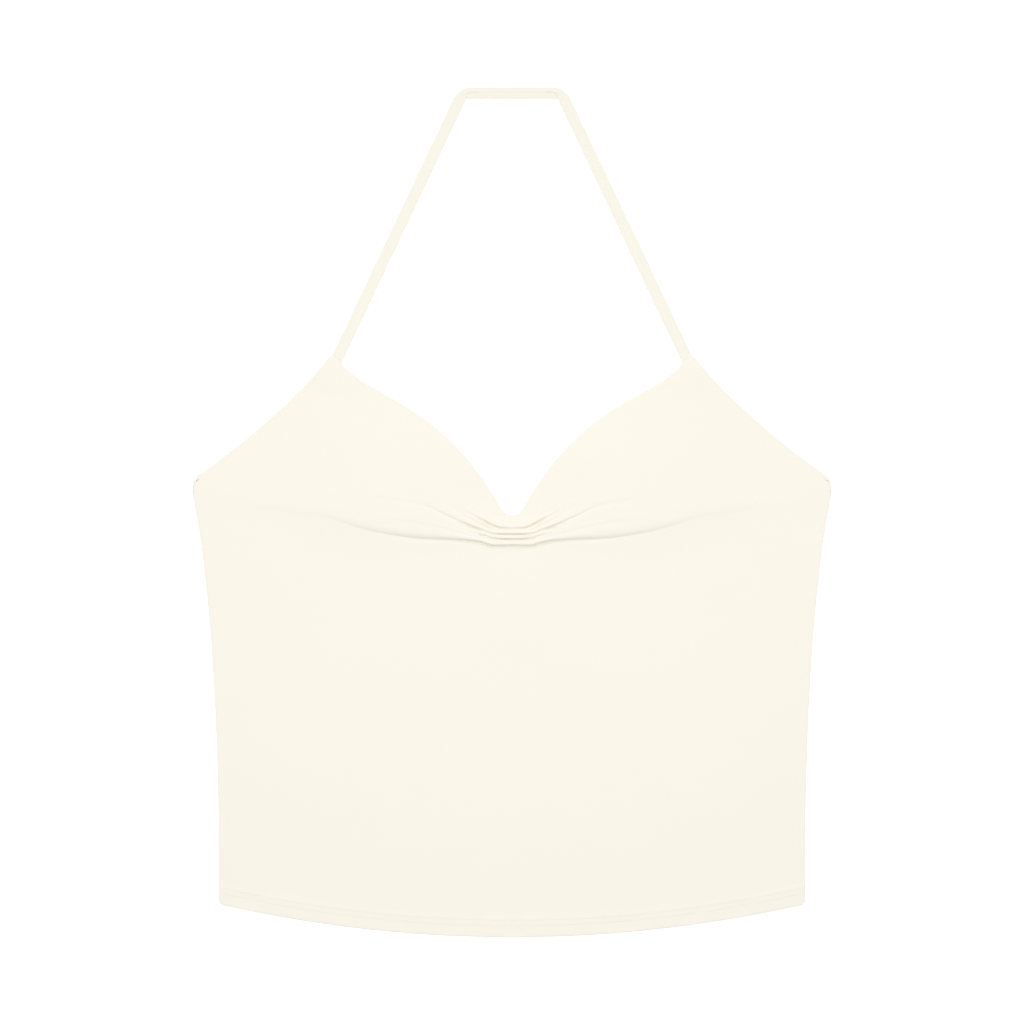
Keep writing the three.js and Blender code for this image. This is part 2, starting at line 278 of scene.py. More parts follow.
# %% [markdown]
# ## The back
# The back lies on the table, so its under side is flat, and that is the side with its right face: the two
# rows of hem stitches sink into it. It is a little thicker where the hem is turned up inside.

# %% The turned hem and the grooves of its stitches
JERSEY = 1.2  # the wall
HEM_WALL = 1.4
HEM_DEPTH = 13.0
HEM_FADE = 3.0
STITCH_ROWS = [8.3, 12.3]  # heights of the two rows of stitches above the edge
GROOVE_DEPTH = 0.03
GROOVE_WIDTH = 0.55
TUNNEL_LIFT = 0.03  # between the rows the cloth stands up a little
HEM_STEPS = [  # distances from the hem's edge at which rows of points stand
    0.0, 0.15, 0.45, 0.9, 1.5, 3.0, 5.0, 7.0, 7.7, 8.3,
    8.9, 9.7, 10.9, 11.7, 12.3, 12.9, 13.8, 15.0, 17.0,
]


def hem_wall(x, y):
    return mix(JERSEY, HEM_WALL, 1 - smooth((y - hem_y(x) - HEM_DEPTH) / HEM_FADE))


def groove(x, y):
    """How deep the thread pulls the cloth in along the hem's two rows."""
    above = y - hem_y(x)
    return sum(GROOVE_DEPTH * np.exp(-np.square((above - row) / GROOVE_WIDTH)) for row in STITCH_ROWS)


def tunnel(x, y):
    above = y - hem_y(x)
    middle, half = sum(STITCH_ROWS) / 2, (STITCH_ROWS[1] - STITCH_ROWS[0]) / 2
    return TUNNEL_LIFT * np.clip(1 - np.square((above - middle) / half), 0, None)


# %% Build the back
BACK_COLUMNS = [(220.0, 56)]
BACK_ROWS = 58


def back_grid():
    shares = column_shares(BACK_COLUMNS + [(BUST_HALF - 3.0, 3)], BUST_HALF)
    hem = hem_y(shares * HEM_HALF)
    edge_x = shares * BUST_HALF
    levels = [hem + step for step in HEM_STEPS]
    start, end = levels[-1], back_edge_y(edge_x) - 3.0
    levels += [mix(start, end, i / BACK_ROWS) for i in range(1, BACK_ROWS + 1)]
    levels += [back_edge_y(edge_x) - step / slope_factor(back_edge_y, edge_x) for step in EDGE_STEPS]
    y = np.array(levels)
    return round_hem_corners(shares * side_half(y), y)


back_x, back_y = back_grid()
back_bottom, back_top = folded(
    groove(back_x, back_y),
    hem_wall(back_x, back_y),
    edge_distance(back_x, back_y, back_edge_y),
)
back_cloth = shell("back_cloth", back_x, back_y, back_bottom, back_top)
print(f"back: {len(back_cloth.data.polygons)} faces")

# %% [markdown]
# ## The front
# The front lies on the back, then on the table past the back's low edge. Empty cups never lie quite flat, so
# they stand off a little. The gathers are the part that people see first. A drawn-up seam makes rolls of
# cloth: each one falls steeply into a crease on its lower side, and the next roll starts there. A table has
# a row for each crease, and one formula turns a row into a roll and its crease. Cloth simulation would move
# these creases about, and here they have to stay where they were sewn.

# %% Where the front rests
SEAM_GAP = 0.3
DRAPE_RUN = 34.0
TAIL_THICK = 1.7
TAIL_RADIUS = 11.0
TAIL_RUN = 20.0


def rest_height(x, y):
    """On the back, on the strap's end inside the cup point, and otherwise on the table."""
    on_back = (hem_wall(x, y) + SEAM_GAP) * (1 - smooth((y - back_edge_y(x)) / DRAPE_RUN))
    from_point = np.hypot(np.abs(x) - CUP_POINT[0], y - CUP_POINT[1])
    on_tail = (TAIL_THICK + SEAM_GAP) * (1 - smooth((from_point - TAIL_RADIUS) / TAIL_RUN))
    return np.maximum(on_back, on_tail)


# %% Soft forms of the empty cups and of the cloth below them
CUP_RISE = 6.0
CUP = {"x": 86.0, "y": 24.0, "across": 112.0, "down": 62.0, "up": 90.0}
SOFT_FORMS = [
    # (distance from the centre, height, reach across, reach down, reach up, rise)
    (0.0, -58.0, 46.0, 70.0, 34.0, 1.3),
    (96.0, -112.0, 84.0, 52.0, 46.0, 0.8),
    (150.0, -190.0, 60.0, 80.0, 70.0, 0.7),
]


def mound(x, y, centre_x, centre_y, across, down, up):
    """1 at its top and 0 from its oval foot outwards."""
    along = np.where(y < centre_y, (y - centre_y) / down, (y - centre_y) / up)
    return np.square(np.clip(1 - np.square((np.abs(x) - centre_x) / across) - along**2, 0, None))


def soft_height(x, y):
    height = CUP_RISE * mound(x, y, *CUP.values())
    for centre_x, centre_y, across, down, up, rise in SOFT_FORMS:
        height = height + rise * mound(x, y, centre_x, centre_y, across, down, up)
    return height


# %% The creases, one row each
TAB_HALF = 14.5  # the gathers run level for this far, then they fan out
CREASE_AT = [0.0, 9.0, TAB_HALF, 20.0, 28.0, 45.0, 66.0, 100.0, 140.0, BUST_HALF]
CREASES = [
    # A crease has its name, its height at each distance above, and how strongly it shows there. Then come its
    # depth and its half width above and below, and how high and how far up the cloth above it rolls.
    (
        "notch",
        [-7.5, -6.8, -5.2, -2.2, 2.4, 14, 26, 40, 50, 60],
        [0, 0, 0, 0.85, 0.4, 0, 0, 0, 0, 0],
        (0.3, 0.7, 0.4),
        (0.1, 3),
    ),
    (
        "upper",
        [-12.1, -11.6, -9.6, -6.8, -2.7, 6.5, 19, 33, 44, 54],
        [0.5, 0.95, 1, 0.95, 0.25, 0, 0, 0, 0, 0],
        (1.4, 0.7, 0.3),
        (1.4, 7),
    ),
    (
        "hook",
        [-13.4, -13.2, -12.6, -9.9, -6.1, 4.7, 14, 24, 34, 45],
        [0, 0, 0.4, 0.85, 0.4, 0.08, 0, 0, 0, 0],
        (1.0, 0.5, 0.3),
        (0.4, 2.5),
    ),
    (
        "long",
        [-16.1, -16.0, -15.6, -13.6, -10.9, -3.7, 5.6, 11, 16, 30],
        [0.8, 0.8, 0.38, 0.45, 0.78, 0.28, 0.1, 0.03, 0, 0],
        (3.0, 0.5, 0.25),
        (0.7, 5),
    ),
    (
        "short",
        [-19.7, -19.5, -18.8, -17.1, -15.3, -9.6, -2, 5, 9, 16],
        [0.92, 0.9, 0.62, 0.56, 0.15, 0, 0, 0, 0, 0],
        (2.4, 0.48, 0.25),
        (0.5, 3.5),
    ),
    (
        "thin",
        [-21.2, -21.0, -20.4, -19.0, -17.3, -13.2, -8.6, -4.2, 3, 12],
        [0, 0, 0, 0.9, 0.9, 0.75, 0.65, 0.3, 0, 0],
        (0.3, 0.6, 0.5),
        (0.2, 5),
    ),
    (
        "under bust",
        [-24.3, -24.7, -24.6, -22.9, -21.4, -20.2, -19.3, -14.4, -3.5, 6],
        [0.85, 0.85, 0.95, 1.05, 1.05, 0.8, 0.6, 0.4, 0.1, 0],
        (1.0, 0.7, 0.3),
        (3.5, 10),
    ),
]
UNDER_BUST = CREASES[-1][1]  # the heights of the lowest crease
UPPER_SPREADS = 60.0  # at this distance from the centre the upper side of a crease is twice as wide
LOWER_SPREADS = 25.0  # and at this one its lower side, which flattens sooner
GATHER_SWELL = 1.3
SWELL = {"y": -15.0, "across": 34.0, "along": 15.0}
TACK_Y = -6.4  # a short tack holds the gathers below the notch, with a small dent at each end of it
TACK_HALF = 5.5
TICK_DEPTH = 0.25
TICK_WIDTH = 0.6


def crease_y(heights, out):
    """The line of a crease. It is level at the centre, because the other half mirrors it."""
    return curve_through([-CREASE_AT[1], *CREASE_AT], [heights[1], *heights], out)


def gather_height(x, y):
    out = np.abs(x)
    swell = 1 - smooth(np.hypot(x / SWELL["across"], (y - SWELL["y"]) / SWELL["along"]))
    height = GATHER_SWELL * swell
    for _, heights, strengths, (depth, upper, lower), (lift, run) in CREASES:
        above = y - crease_y(heights, out)
        upper_side = upper * (1 + out / UPPER_SPREADS)
        lower_side = lower * (1 + (out / LOWER_SPREADS) ** 2)
        bell = np.exp(-np.square(above / np.where(above > 0, upper_side, lower_side)))
        roll = np.where(above > 0, (1 - bell) * np.exp(-np.clip(above, 0, None) / run), 0)
        height = height + curve_through(CREASE_AT, strengths, out) * (lift * roll - depth * bell)
    tack_rows = smooth((y - TACK_Y + 0.6) / 0.8)
    return height - TICK_DEPTH * tack_rows * np.exp(-np.square((out - TACK_HALF) / TICK_WIDTH))


# %% Puckers below the hem stitches
PUCKERS = 46
PUCKER_SEED = 5
pucker_dice = np.random.default_rng(PUCKER_SEED)
pucker_x = pucker_dice.uniform(-HEM_HALF, HEM_HALF, PUCKERS)
pucker_wide = pucker_dice.uniform(2.5, 7.0, PUCKERS)
pucker_deep = pucker_dice.uniform(0.08, 0.3, PUCKERS)
pucker_lean = pucker_dice.uniform(-0.8, 0.8, PUCKERS)


def pucker_depth(x, y):
    """Small soft dents that run from the stitches towards the hem's edge, and fade out above them."""
    above = y - hem_y(x)
    shown = smooth(above / 3.0) * (1 - smooth((above - 9.0) / 12.0))
    depth = np.zeros_like(x)
    for place, wide, deep, lean in zip(pucker_x, pucker_wide, pucker_deep, pucker_lean):
        depth += deep * np.exp(-np.square((x - place - lean * above) / wide))
    return depth * shown


# %% Build the front
BUST_WALL = 1.6
BUST_WALL_RUN = 20.0
LEAST_WALL = 0.5
SIDE_FADE = 18.0
UNDER_SHARE = 0.4  # how much of the gathers shows on the inside
FRONT_COLUMNS = [(8.0, 13), (34.0, 42), (80.0, 34), (134.0, 26), (228.6, 26)]
BODY_ROWS = 26
FOOT_OF_CREASE = 4.0
ABOVE_CREASE = [0.3, 0.7, 1.3]  # rows close above each crease
BELOW_CREASE = [0.15, 0.4, 0.8]  # and close below the next one
ROWS_BETWEEN = 3
CUP_ROWS = 20
ROOM_SHARES = [0.2, 0.3, 0.36, 0.5, 0.6, 0.68, 0.86]  # the highest that each crease may lie, foot to edge


def rows_between(low, high, steps):
    """Rows from one line up to the next: some close to each line, and the others even between them."""
    near = (high - low) / (ABOVE_CREASE[-1] + BELOW_CREASE[-1] + steps * ABOVE_CREASE[0])
    near = np.minimum(near, 1)
    start, end = low + ABOVE_CREASE[-1] * near, high - BELOW_CREASE[-1] * near
    rows = [low + step * near for step in ABOVE_CREASE]
    rows += [mix(start, end, i / steps) for i in range(1, steps)]
    return rows + [high - step * near for step in BELOW_CREASE[::-1]] + [high]


def front_grid():
    shares = column_shares(FRONT_COLUMNS, BUST_HALF)
    edge_x = shares * BUST_HALF
    edge = front_edge_y(edge_x)
    lean = slope_factor(front_edge_y, edge_x)
    foot = crease_y(UNDER_BUST, np.abs(edge_x)) - FOOT_OF_CREASE
    rows = [hem_y(shares * HEM_HALF) + step for step in HEM_STEPS]
    start = rows[-1]
    rows += [mix(start, foot, 1 - (1 - i / BODY_ROWS) ** 1.6) for i in range(1, BODY_ROWS + 1)]
    for (_, heights, *_), share in zip(CREASES[::-1], ROOM_SHARES):
        line = np.minimum(crease_y(heights, np.abs(edge_x)), mix(foot, edge, share))
        rows += rows_between(rows[-1], line, ROWS_BETWEEN)
    near_edge = edge - (EDGE_STEPS[0] + 0.5) / lean
    rows += [mix(rows[-1], near_edge, (i / CUP_ROWS) ** 1.2) for i in range(1, CUP_ROWS + 1)]
    rows += [edge - step / lean for step in EDGE_STEPS]
    y = np.array(rows)
    return round_hem_corners(shares * side_half(y), y)


def front_faces(x, y):
    from_side = smooth((side_half(y) - np.abs(x)) / SIDE_FADE)
    base = rest_height(x, y) + from_side * soft_height(x, y)
    bust = smooth((y - crease_y(UNDER_BUST, np.abs(x))) / BUST_WALL_RUN + 0.5)
    wall = hem_wall(x, y) + (BUST_WALL - JERSEY) * bust
    gathers = from_side * gather_height(x, y)
    top = base + wall + gathers - groove(x, y) + tunnel(x, y) - pucker_depth(x, y)
    bottom = base + UNDER_SHARE * np.clip(gathers, 0, None)
    return bottom, np.maximum(top, bottom + LEAST_WALL)


front_x, front_y = front_grid()
front_bottom, front_top = folded(
    *front_faces(front_x, front_y),
    edge_distance(front_x, front_y, front_edge_y),
)
front_cloth = shell("front_cloth", front_x, front_y, front_bottom, front_top)
print(f"front: {len(front_cloth.data.polygons)} faces, {front_top.max():.1f} mm high")

# %% [markdown]
# ## The strap
# The strap is a strip sewn into a flat tube and pressed. Up the sides it lies flat. Behind the neck it rolls
# over itself: a narrow lip shows in front, and the rest of its width is a band behind that lip. So its
# section changes along the way, and the strap is a loft through sections, as one section swept along a line
# can't do it.

# %% Stations along the strap
STRAP_WIDTH = 8.45
STRAP_THICK = 1.7
STRAP_TAIL = 7.0  # sewn in under the cup point
NECK_THICK = 2.2
NECK_BAND = 8.2
NECK_LIP = 3.5
NECK_CORNER_RADIUS = 15.0
SEWN_EDGE = 0.5  # the under layer is narrower by this
BAND_DROPS_BY = 0.5  # of the corner, where the band has left the lip
BAND_SHARES = (0.6, 0.93)  # of the height, which the band takes at the corners and in the middle
PRESSED_RUN = 6.0  # from a corner, where the lip stands free, to where it is pressed flat
STRAP_TOP = strap_high.y
LEAN = math.radians(25.3)
STRAP_FOOT = np.array([129.8, 114.7])
CORNER_SHARES = [0.0, 0.25, 0.45, 0.58, 0.76, 1.0]
CORNER_LIPS = [STRAP_WIDTH, 8.2, 7.4, 6.1, 4.4, NECK_LIP]
STRAIGHT_STEPS = 60
CORNER_STEPS = 40
NECK_STEPS = 24


def strap_stations():
    """Rows of (edge point, inward direction, lip, band, step, height) for the right half, cup point first."""
    along = np.array([-math.sin(LEAN), math.cos(LEAN)])
    inward = np.array([-math.cos(LEAN), -math.sin(LEAN)])
    down = STRAP_TOP - NECK_CORNER_RADIUS - STRAP_FOOT[1]
    run = (down - NECK_CORNER_RADIUS * inward[1]) / along[1]
    centre = STRAP_FOOT + along * run + inward * NECK_CORNER_RADIUS
    flat_band = STRAP_WIDTH - SEWN_EDGE
    rows = []
    for i in range(STRAIGHT_STEPS):
        edge = STRAP_FOOT + along * mix(-STRAP_TAIL, run, i / STRAIGHT_STEPS)
        rows.append((edge, inward, STRAP_WIDTH, flat_band, BAND_SHARES[0] * STRAP_THICK, STRAP_THICK))
    band_edge = STRAP_TOP - NECK_BAND - centre[1]
    for i in range(CORNER_STEPS + 1):
        share = i / CORNER_STEPS
        angle = mix(LEAN, math.pi / 2, share)
        out = np.array([math.cos(angle), math.sin(angle)])
        lip = float(curve_through(CORNER_SHARES, CORNER_LIPS, share))
        dropped = float(smooth(share / BAND_DROPS_BY))
        band = mix(flat_band, NECK_CORNER_RADIUS - band_edge / out[1], dropped)
        height = mix(STRAP_THICK, NECK_THICK, share)
        rows.append((centre + out * NECK_CORNER_RADIUS, -out, lip, band, BAND_SHARES[0] * height, height))
    for i in range(1, NECK_STEPS + 1):
        from_corner = centre[0] * i / NECK_STEPS
        edge = np.array([centre[0] - from_corner, STRAP_TOP])
        step = NECK_THICK * mix(*BAND_SHARES, float(smooth(from_corner / PRESSED_RUN)))
        rows.append((edge, np.array([0.0, -1.0]), NECK_LIP, NECK_BAND, step, NECK_THICK))
    return rows


# %% The strap's section
CORNER_SOFT = 0.3
UNDER_ROUND = 0.4  # of the band's height, how round its edges are
FOOT_FIRM = 0.25  # the band is level up to here from the lip
ARC_STEPS = 3
FACE_STEPS = 6
CROWN = 0.12  # the pressed strip is a little fuller along its middle


def arc(centre, radius, start_deg, end_deg):
    angles = np.radians(np.linspace(start_deg, end_deg, ARC_STEPS + 1))
    return [(centre[0] + radius * math.cos(a), centre[1] + radius * math.sin(a)) for a in angles]


def strap_section(lip, band, step, height):
    """Points (inward, up) round the section: the band up to its step, then the lip on top of it."""
    low, high = UNDER_ROUND * step, min(CORNER_SOFT, 0.9 * (height - step))
    points = arc((low, low), low, 180, 270)
    points += arc((band - low, low), low, -90, 0)
    points += arc((band - low, step - low), low, 0, 90)
    foot = lip + 0.02
    points += [(foot + min(max(band - low - foot, 0.01), FOOT_FIRM), step), (foot, step)]
    points += arc((lip - high, height - high), high, 0, 90)
    face = np.linspace(lip - high, high, FACE_STEPS + 1)[1:-1]
    points += [(u, height + CROWN * (1 - (2 * u / lip - 1) ** 2)) for u in face]
    points += arc((high, height - high), high, 90, 180)
    return np.array(points)


# %% Build the strap
def strap_mesh():
    """Points, faces and UV of the loft through both halves, with a face at each end."""
    right = strap_stations()
    left = [
        (np.array([-edge[0], edge[1]]), np.array([-inward[0], inward[1]]), *section)
        for edge, inward, *section in right[-2::-1]
    ]
    stations = right + left
    sections = [strap_section(*station[2:]) for station in stations]
    around = len(sections[0])
    edges = np.array([station[0] for station in stations])
    along = np.concatenate([[0], np.cumsum(np.linalg.norm(np.diff(edges, axis=0), axis=1))])
    points, uv = [], []
    for (edge, inward, *_), section, far in zip(stations, sections, along):
        plan = edge + section[:, :1] * inward
        points.append(np.column_stack([plan, section[:, 1]]))
        girth = np.concatenate([[0], np.cumsum(np.linalg.norm(np.diff(section, axis=0), axis=1))])
        uv.append(np.column_stack([girth, np.full(around, far)]))
    ring = np.arange(around)
    faces = []
    for i in range(len(stations) - 1):
        a, b = i * around + ring, i * around + np.roll(ring, -1)
        faces.append(np.stack([a, b, b + around, a + around], axis=-1))
    last = (len(stations) - 1) * around
    ends = [ring[::-1].tolist(), (last + ring).tolist()]
    return np.concatenate(points), np.concatenate(faces).tolist() + ends, np.concatenate(uv)


strap_cloth = mesh_object("strap_cloth", *strap_mesh())
print(f"strap: {len(strap_cloth.data.polygons)} faces")

# %% [markdown]
# ## The hem stitches
# A twin needle sews two rows at once. Each stitch is a short piece of thread that bows up out of the cloth
# and dives into a needle hole at each end. There are about a thousand of them, so Geometry Nodes set one
# small stitch at even steps along each row, and beside each one a small dark disc that is painted shade in
# its needle hole. A fixed seed turns and stretches each one a little.

# %% A small builder for node trees
class Tree:
    """Adds nodes to a node tree, sets them, and links them."""

    def __init__(self, tree):
        self.tree = tree

    def node(self, kind, settings=None, inputs=None):
        made = self.tree.nodes.new(kind)
        for name, value in (settings or {}).items():
            setattr(made, name, value)
        for key, value in (inputs or {}).items():
            socket = made.inputs[key]
            if isinstance(value, bpy.types.NodeSocket):
                self.tree.links.new(value, socket)
            else:
                socket.default_value = value
        return made

    def maths(self, operation, *values):
        inputs = dict(enumerate(values))
        return self.node("ShaderNodeMath", {"operation": operation}, inputs).outputs[0]


STITCH_PITCH = 1.64
STITCH_SIZES = {
    "Pitch": STITCH_PITCH * MM,
    "Stitch length": 1.3 * MM,
    "Thread radius": 0.08 * MM,
    "Dive": 0.2 * MM,
    "Hole radius": 0.15 * MM,
}


def stitch_tree():
    """Thread along the edges of the incoming mesh, and a small dark disc of painted shade at each hole
    between stitches.
    """
    group = bpy.data.node_groups.new("stitches along a seam", "GeometryNodeTree")
    face = group.interface
    face.new_socket("Geometry", in_out="INPUT", socket_type="NodeSocketGeometry")
    for name in STITCH_SIZES:
        face.new_socket(name, in_out="INPUT", socket_type="NodeSocketFloat")
    face.new_socket("Seed", in_out="INPUT", socket_type="NodeSocketInt")
    face.new_socket("Thread", in_out="INPUT", socket_type="NodeSocketMaterial")
    face.new_socket("Painted hole shade", in_out="INPUT", socket_type="NodeSocketMaterial")
    face.new_socket("Geometry", in_out="OUTPUT", socket_type="NodeSocketGeometry")
    t = Tree(group)
    given = t.node("NodeGroupInput").outputs

    seam = t.node("GeometryNodeMeshToCurve", inputs={"Mesh": given["Geometry"]}).outputs[0]
    even = t.node(
        "GeometryNodeResampleCurve",
        {"mode": "LENGTH"},
        {"Curve": seam, "Length": given["Pitch"]},
    ).outputs[0]
    places = t.node("GeometryNodeCurveToPoints", {"mode": "EVALUATED"}, {"Curve": even}).outputs
    turn = t.node(
        "FunctionNodeRandomValue",
        {"data_type": "FLOAT_VECTOR"},
        {"Min": (0, 0, -0.07), "Max": (0, 0, 0.07), "Seed": given["Seed"]},
    ).outputs[0]
    stretch = t.node(
        "FunctionNodeRandomValue",
        {"data_type": "FLOAT_VECTOR"},
        {"Min": (0.92, 0.9, 0.9), "Max": (1.06, 1.1, 1.1), "Seed": given["Seed"]},
    ).outputs[0]
    facing = t.node(
        "FunctionNodeAlignRotationToVector",
        {"axis": "X", "pivot_axis": "Z"},
        {"Vector": places["Tangent"]},
    ).outputs[0]
    turned = t.node(
        "FunctionNodeRotateRotation", {"rotation_space": "LOCAL"}, {0: facing, 1: turn}
    ).outputs[0]

    half = t.maths("MULTIPLY", given["Stitch length"], 0.5)
    left = t.node("ShaderNodeCombineXYZ", inputs={"X": t.maths("MULTIPLY", half, -1.0)}).outputs[0]
    right = t.node("ShaderNodeCombineXYZ", inputs={"X": half}).outputs[0]
    line = t.node("GeometryNodeCurvePrimitiveLine", inputs={"Start": left, "End": right}).outputs[0]
    beads = t.node("GeometryNodeResampleCurve", {"mode": "COUNT"}, {"Curve": line, "Count": 7}).outputs[0]
    share = t.node("GeometryNodeSplineParameter").outputs["Factor"]
    away = t.maths("SUBTRACT", t.maths("MULTIPLY", share, 2.0), 1.0)
    square = t.maths("MULTIPLY", away, away)
    drop = t.maths("MULTIPLY", t.maths("MULTIPLY", square, given["Dive"]), -1.0)
    offset = t.node("ShaderNodeCombineXYZ", inputs={"Z": drop}).outputs[0]
    bowed = t.node("GeometryNodeSetPosition", inputs={"Geometry": beads, "Offset": offset}).outputs[0]
    slim = t.maths("SUBTRACT", 1.0, t.maths("MULTIPLY", t.maths("MULTIPLY", square, square), 0.45))
    tapered = t.node("GeometryNodeSetCurveRadius", inputs={"Curve": bowed, "Radius": slim}).outputs[0]
    ring = t.node(
        "GeometryNodeCurvePrimitiveCircle",
        {"mode": "RADIUS"},
        {"Resolution": 6, "Radius": given["Thread radius"]},
    ).outputs[0]
    thread = t.node(
        "GeometryNodeCurveToMesh",
        inputs={"Curve": tapered, "Profile Curve": ring, "Scale": slim, "Fill Caps": True},
    ).outputs[0]
    soft = t.node("GeometryNodeSetShadeSmooth", inputs={"Geometry": thread}).outputs[0]
    # a flat dark disc where the needle went through: painted shade of the hole
    disc = t.node(
        "GeometryNodeMeshCircle",
        {"fill_type": "NGON"},
        {"Vertices": 8, "Radius": given["Hole radius"]},
    ).outputs[0]
    beside = t.node(
        "ShaderNodeCombineXYZ", inputs={"X": t.maths("MULTIPLY", given["Pitch"], 0.5)}
    ).outputs[0]
    hole = t.node("GeometryNodeTransform", inputs={"Geometry": disc, "Translation": beside}).outputs[0]

    joined = t.node("GeometryNodeJoinGeometry")
    for shape, material in ((soft, "Thread"), (hole, "Painted hole shade")):
        copies = t.node(
            "GeometryNodeInstanceOnPoints",
            inputs={"Points": places["Points"], "Instance": shape, "Rotation": turned, "Scale": stretch},
        ).outputs[0]
        real = t.node("GeometryNodeRealizeInstances", inputs={"Geometry": copies}).outputs[0]
        dyed = t.node(
            "GeometryNodeSetMaterial", inputs={"Geometry": real, "Material": given[material]}
        ).outputs[0]
        group.links.new(dyed, joined.inputs[0])
    t.node("NodeGroupOutput", inputs={0: joined.outputs[0]})
    return group


# %% [markdown]
# ## Finishes
# Fine jersey shows columns of tiny V-shaped loops, about two to the millimetre, and only from close by. From
# a step away it is matt, with a very faint cloudiness. The pattern follows the cloth's own UV map, so that it
# runs along the strap and over the gathers. The maths is written as ordinary expressions on a small class,
# and each expression adds its nodes.

# %% Shader maths as expressions
class Wire:
    """A shader socket that can be used in sums and products."""

    def __init__(self, dye, socket):
        self.dye = dye
        self.socket = socket

    def maths(self, operation, first, second):
        return self.dye.node("ShaderNodeMath", {"operation": operation}, {0: first, 1: second})

    def __add__(self, other):
        return self.maths("ADD", self, other)

    __radd__ = __add__

    def __sub__(self, other):
        return self.maths("SUBTRACT", self, other)

    def __rsub__(self, other):
        return self.maths("SUBTRACT", other, self)

    def __mul__(self, other):
        return self.maths("MULTIPLY", self, other)

    __rmul__ = __mul__

    def __truediv__(self, other):
        return self.maths("DIVIDE", self, other)

    def function(self, operation):
        return self.dye.node("ShaderNodeMath", {"operation": operation}, {0: self})


class Dye:
    """A material that is being written."""

    def __init__(self, name):
        self.material = bpy.data.materials.new(name)
        self.material.use_nodes = True
        self.tree = self.material.node_tree
        self.tree.nodes.clear()

    def node(self, kind, settings=None, inputs=None, output=0):
        made = self.tree.nodes.new(kind)
        for name, value in (settings or {}).items():
            setattr(made, name, value)
        for key, value in (inputs or {}).items():
            if isinstance(value, Wire):
                self.tree.links.new(value.socket, made.inputs[key])
            else:
                made.inputs[key].default_value = value
        return Wire(self, made.outputs[output])

    def finish(self, **principled):
        surface = self.node("ShaderNodeBsdfPrincipled", inputs=principled)
        end = self.tree.nodes.new("ShaderNodeOutputMaterial")
        self.tree.links.new(surface.socket, end.inputs["Surface"])
        return self.material


# %% Cream jersey
WALE = 0.5 * MM  # one column of loops
COURSE = 0.38 * MM  # one row of loops
LOOP_RELIEF = 0.05 * MM
CLOUD = 45 * MM
FIBRE = 0.9 * MM
TWIST = 0.3 * MM  # of the thread
SHADED = 0.86  # of the colour, where a fibre or a cloud is darkest


def cream_jersey(name, colour):
    """colour is the linear red, green and blue that the cloth gets: its own cream, and for the strap a little
    darker, as painted shade.
    """
    dye = Dye(name)
    cloth = dye.node("ShaderNodeUVMap", {"uv_map": CLOTH_UV})
    across = dye.node("ShaderNodeSeparateXYZ", inputs={0: cloth}, output=0)
    along = dye.node("ShaderNodeSeparateXYZ", inputs={0: cloth}, output=1)

    off_wale = (2 * (across / WALE).function("FRACT") - 1).function("ABSOLUTE")
    loops = ((along / COURSE + 0.45 * off_wale) * math.tau).function("COSINE")
    relief = (1 - off_wale * off_wale) * (0.6 + 0.4 * loops)
    normal = dye.node(
        "ShaderNodeBump",
        inputs={"Height": relief, "Distance": LOOP_RELIEF, "Strength": 0.6},
    )

    plane = {"noise_dimensions": "2D"}
    cloud = dye.node("ShaderNodeTexNoise", plane, {"Vector": cloth, "Scale": 1 / CLOUD, "Detail": 2.0})
    fibre = dye.node("ShaderNodeTexNoise", plane, {"Vector": cloth, "Scale": 1 / FIBRE, "Detail": 3.0})
    shade = 0.05 * cloud + 0.15 * fibre
    tint = dye.node(
        "ShaderNodeMix",
        {"data_type": "RGBA"},
        {0: shade, 6: (*colour, 1), 7: (*[SHADED * c for c in colour], 1)},
        output=2,
    )
    return dye.finish(
        **{
            "Base Color": tint,
            "Roughness": 0.95,
            "Specular IOR Level": 0.15,
            "Sheen Weight": 0.08,
            "Sheen Roughness": 0.6,
            "Normal": normal,
        }
    )


def plain(name, colour, roughness):
    """A finish for pieces a fraction of a millimetre across, with a twist that only a close look shows."""
    dye = Dye(name)
    place = dye.node("ShaderNodeTexCoord", output=3)
    twist = dye.node("ShaderNodeTexNoise", inputs={"Vector": place, "Scale": 1 / TWIST, "Detail": 1.0})
    tint = dye.node(
        "ShaderNodeMix",
        {"data_type": "RGBA"},
        {0: twist, 6: (*colour, 1), 7: (*[0.9 * c for c in colour], 1)},
        output=2,
    )
    return dye.finish(**{"Base Color": tint, "Roughness": roughness, "Specular IOR Level": 0.2})


CREAM = (0.88, 0.849, 0.757)
# Painted shade: the strap gets a copy of the same jersey, a little darker.
STRAP_PAINTED_SHADE = 0.985  # the strap looks a little darker in the photograph
front_jersey = cream_jersey("cream jersey, front", CREAM)
back_jersey = cream_jersey("cream jersey, back", CREAM)
# the strap's copy of the jersey, darkened as painted shade
strap_jersey = cream_jersey("cream jersey, strap, painted darker", [STRAP_PAINTED_SHADE * c for c in CREAM])
thread = plain("cream thread", (0.95, 0.92, 0.82), 0.7)
# each needle hole is a flat disc in a dark colour: painted shade of the hole in the cloth
needle_hole_shade = plain("painted shade of a needle hole", (0.3, 0.28, 0.24), 1.0)
finish_of = {front_cloth: front_jersey, back_cloth: back_jersey, strap_cloth: strap_jersey}
for cloth, finish in finish_of.items():
    cloth.data.materials.append(finish)
print("finishes:", [m.name for m in bpy.data.materials if m.users])

# %% Sew the hems
SEW_STEP = 2.0
SEAM_MARGIN = 1.0  # the stitches stop this far from the side
TACK_HOLE = 0.11
THREAD_RISE = 0.03  # the thread's axis stands this far off the cloth
SKY = 100.0  # rays start this far from the table


